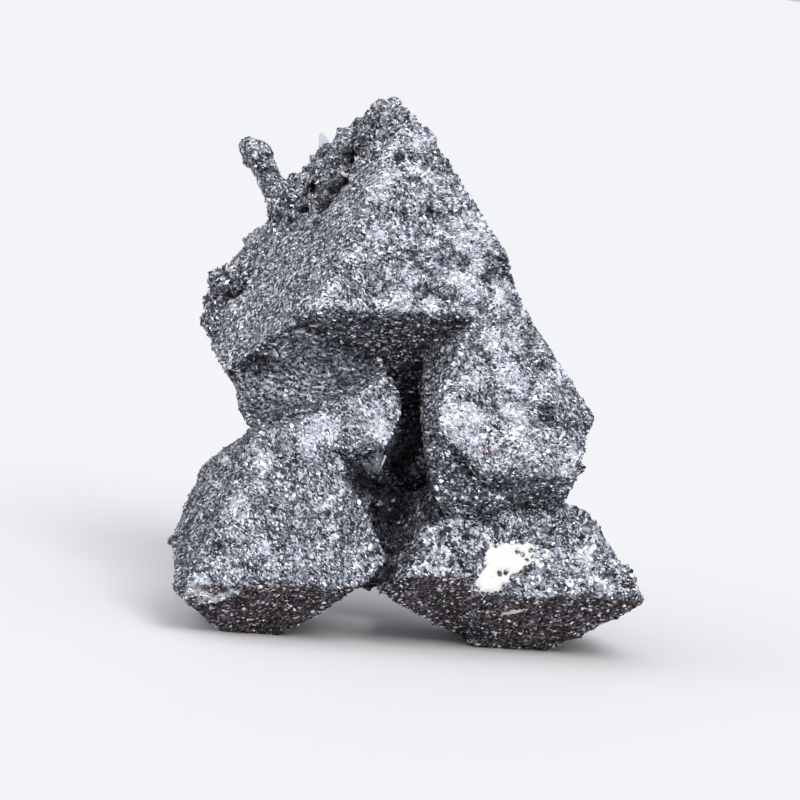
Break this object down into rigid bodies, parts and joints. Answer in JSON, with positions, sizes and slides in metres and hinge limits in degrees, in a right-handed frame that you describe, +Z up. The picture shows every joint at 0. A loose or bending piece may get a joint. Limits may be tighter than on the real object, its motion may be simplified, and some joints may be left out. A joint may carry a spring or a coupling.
{
  "type": "hematite pseudomorph specimen",
  "caption": "Natural cluster of dark metallic hematite octahedra after magnetite, with a stepped hollow, a deep cleft and two feet it stands on.",
  "frame": {"origin": "middle of the bounding box's underside, on the plane that the two feet stand on", "axes": "+Z up, -Y towards the viewer of the stepped hollow and the cleft, +X to that viewer's right"},
  "size_m": [0.0448, 0.0426, 0.0478],
  "materials": {
    "hematite": "dark grey metallic lustre, roughened by fine sparkling crystals"
  },
  "bodies": {
    "root": {"hematite_crystal_cluster": "hematite"}
  },
  "joints": []
}
